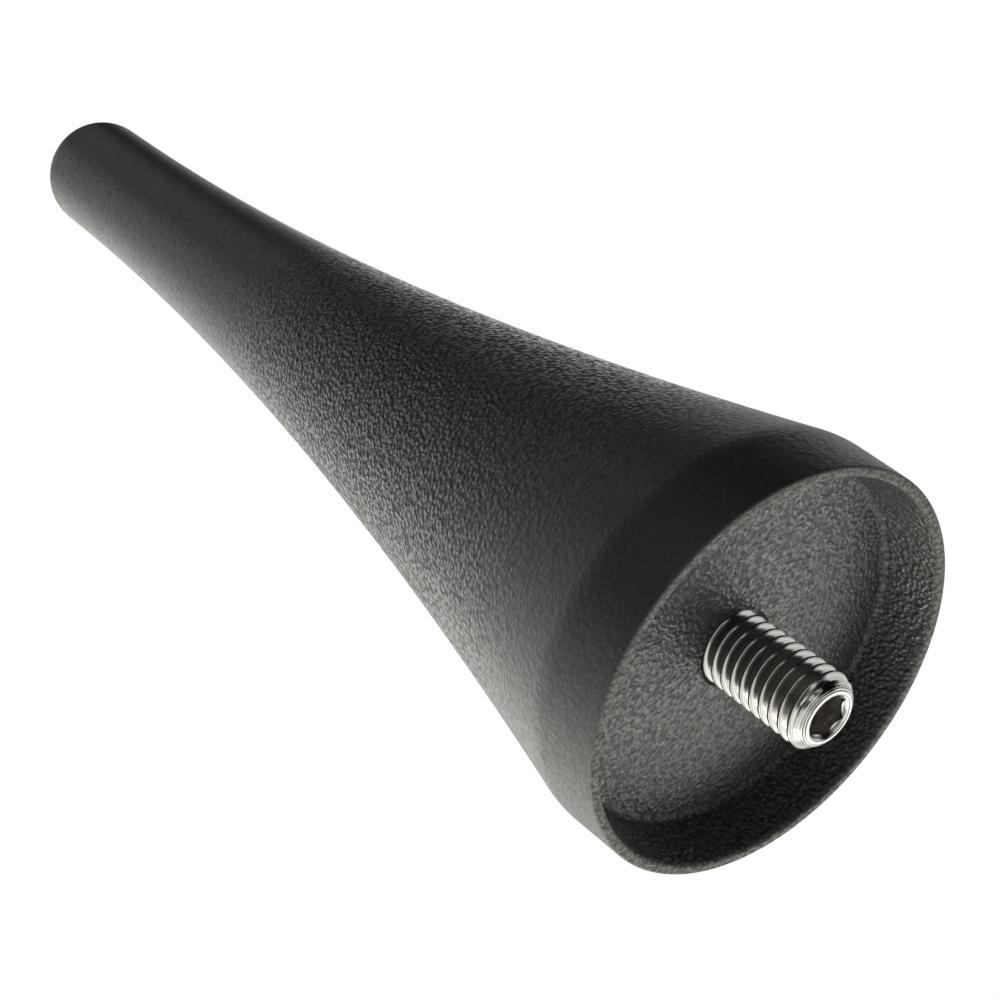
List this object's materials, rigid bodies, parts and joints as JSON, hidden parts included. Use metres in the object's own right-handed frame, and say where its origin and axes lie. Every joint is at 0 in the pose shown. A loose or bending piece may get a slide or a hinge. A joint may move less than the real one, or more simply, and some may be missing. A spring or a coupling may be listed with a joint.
{
  "type": "car mast aerial",
  "caption": "Short trumpet-shaped car aerial mast with a domed tip, a recessed base with a thin rim, and a socket set screw that screws it to the vehicle.",
  "frame": {"origin": "centre of the rim's seating plane, on the axis of the stud", "axes": "+Z along the mast to its tip; the stud points along -Z; the mast is round, so +X and +Y are free"},
  "size_m": [0.028, 0.028, 0.1058],
  "materials": {
    "black_coat": "fine wrinkled black powder coat on turned aluminium",
    "stainless": "bright stainless thread"
  },
  "bodies": {
    "root": {"mast": "black_coat", "threaded_stud": "stainless"}
  },
  "joints": []
}
